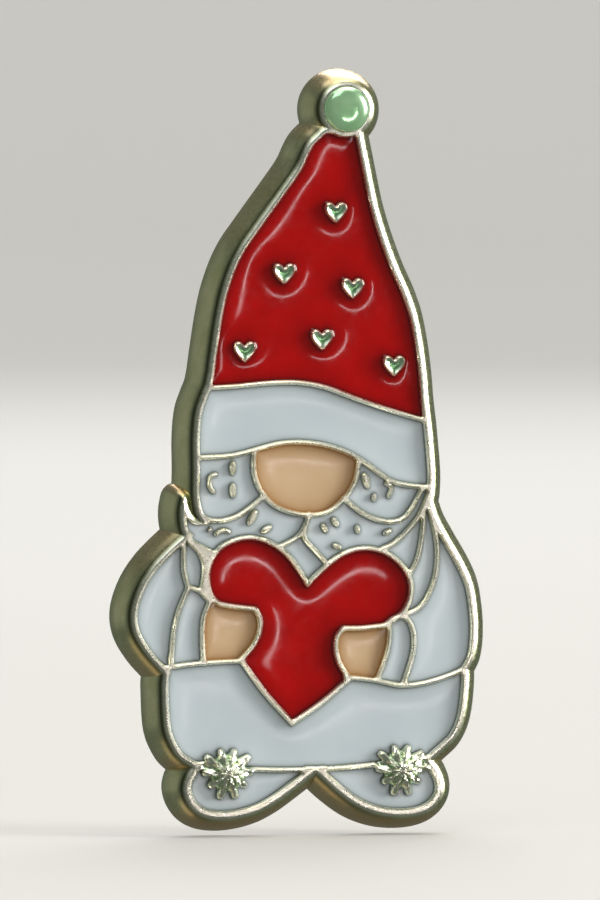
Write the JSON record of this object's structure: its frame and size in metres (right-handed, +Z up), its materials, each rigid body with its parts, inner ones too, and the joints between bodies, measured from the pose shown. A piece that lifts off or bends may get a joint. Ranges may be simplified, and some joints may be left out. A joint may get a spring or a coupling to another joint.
{
  "type": "candle pin",
  "caption": "Flat enamelled metal gnome hugging a heart, with a spike on its back that pushes into the side of a candle as an ornament.",
  "frame": {"origin": "centre of the spike's root on the plate's flat back", "axes": "+Z up towards the tip of the hat, -Y out of the enamelled front, +Y along the spike into the candle"},
  "size_m": [0.0161, 0.0114, 0.0324],
  "materials": {
    "plated_metal": "polished pale gold plating",
    "enamel_red": "glossy deep red soft enamel",
    "enamel_white": "glossy cool white soft enamel",
    "enamel_skin": "glossy tan soft enamel",
    "enamel_green": "glossy mint green enamel over polished metal",
    "spike_steel": "plated tack",
    "solder": "dull solder"
  },
  "bodies": {
    "root": {"base_plate": "plated_metal", "hat_pompom": "enamel_green", "spike": "spike_steel", "solder": "solder", "hat": "enamel_red", "heart": "enamel_red", "brim": "enamel_white", "sideburn_left": "enamel_white", "sideburn_right": "enamel_white", "moustache_left": "enamel_white", "moustache_right": "enamel_white", "beard_centre": "enamel_white", "beard_left": "enamel_white", "beard_right_inner": "enamel_white", "beard_right_outer": "enamel_white", "sleeve_left": "enamel_white", "sleeve_right": "enamel_white", "cuff_left": "enamel_white", "cuff_right": "enamel_white", "body": "enamel_white", "slipper_left": "enamel_white", "slipper_right": "enamel_white", "nose": "enamel_skin", "hand_left": "enamel_skin", "hand_right": "enamel_skin"}
  },
  "joints": []
}
